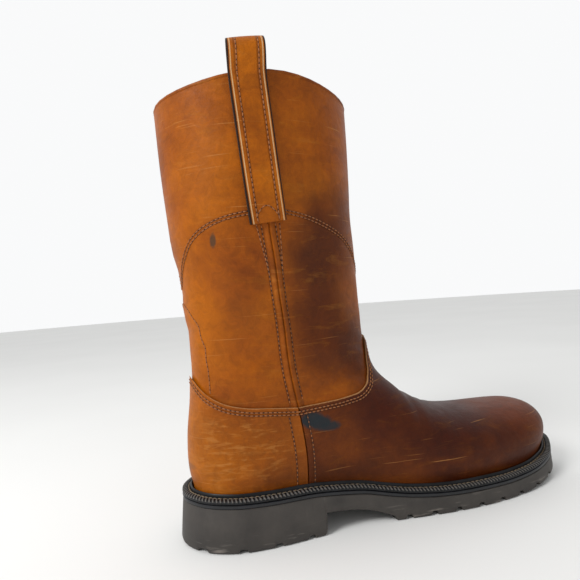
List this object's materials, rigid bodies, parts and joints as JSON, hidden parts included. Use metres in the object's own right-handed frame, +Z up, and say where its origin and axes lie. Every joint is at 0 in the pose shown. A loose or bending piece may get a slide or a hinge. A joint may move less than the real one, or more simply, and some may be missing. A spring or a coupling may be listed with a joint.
{
  "type": "western work boot",
  "caption": "Pull-on western work boot: hollow leather shaft and foot on a storm welt, midsole and heeled rubber sole, with overlays, side seams and pull loops.",
  "frame": {"origin": "on the floor, under the middle of the heel's tread", "axes": "+X forward to the toe, +Y to the wearer's left (the boot's outer side), +Z up along the shaft"},
  "size_m": [0.3069, 0.1204, 0.3214],
  "materials": {
    "tan_leather": "oiled pull-up",
    "outsole_rubber": "matte moulded",
    "welt_black": "smooth dressed edge",
    "insole_cover": "matte"
  },
  "bodies": {
    "root": {"outsole": "outsole_rubber", "midsole": "welt_black", "welt": "welt_black", "insole": "insole_cover", "upper": "tan_leather", "counter": "tan_leather", "vamp": "tan_leather", "side_seam_inner": "tan_leather", "side_seam_outer": "tan_leather", "pull_strap_inner": "tan_leather", "pull_strap_outer": "tan_leather", "collar_binding": "tan_leather"}
  },
  "joints": []
}
